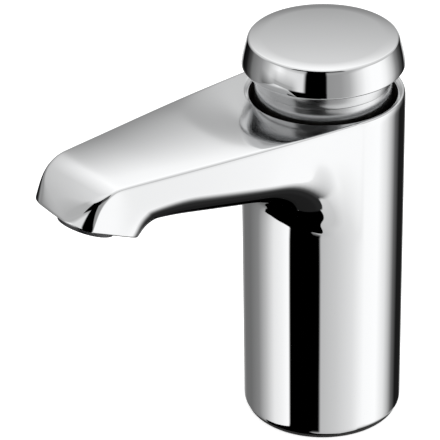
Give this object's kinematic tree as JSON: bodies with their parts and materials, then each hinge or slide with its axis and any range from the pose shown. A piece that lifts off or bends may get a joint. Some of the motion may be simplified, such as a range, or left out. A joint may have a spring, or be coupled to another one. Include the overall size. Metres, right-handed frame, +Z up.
{
  "type": "push timed tap",
  "caption": "Chrome self-closing basin tap: round upright body with a flat tapering spout, a push button on top and a timed valve cartridge inside.",
  "frame": {"origin": "centre of the body's gasket face, on the deck", "axes": "+Z up along the body and the button's travel, -Y along the spout"},
  "size_m": [0.048, 0.1188, 0.1243],
  "materials": {
    "chrome": "polished",
    "brass": "turned",
    "steel": "satin",
    "rubber": "matte",
    "acetal": "satin",
    "limiter": "matte",
    "outlet": "satin"
  },
  "bodies": {
    "tap": {"body_casting": "chrome", "base_gasket": "rubber", "mounting_plate": "brass", "inlet_nipple": "brass", "nipple_seal": "rubber", "inlet_strainer": "steel", "flow_limiter": "limiter", "cartridge_body": "acetal", "nose_seal": "rubber", "nose_ring": "acetal", "valve_seat": "steel", "return_spring": "steel", "metering_pin": "steel", "bonnet": "brass", "bonnet_seal": "rubber", "spindle_seal": "rubber", "aerator_housing": "outlet", "aerator_seal": "rubber", "aerator_diffuser": "acetal", "aerator_spacer": "acetal", "aerator_screen": "steel"},
    "button": {"button_cap": "chrome", "button_collar": "chrome", "button_skirt": "chrome", "cap_lock_nut": "steel", "spindle": "steel", "piston": "acetal", "piston_seal": "rubber", "piston_clip": "steel", "valve_washer": "rubber", "washer_holder": "acetal", "valve_nut": "steel"}
  },
  "joints": [
    {"name": "button_press", "type": "slide", "parent": "tap", "child": "button", "axis": [0, 0, -1], "range_m": [0, 0.006], "stiffness_N_per_m": 1070, "springref_m": -0.006, "deforming": ["return_spring"]}
  ]
}
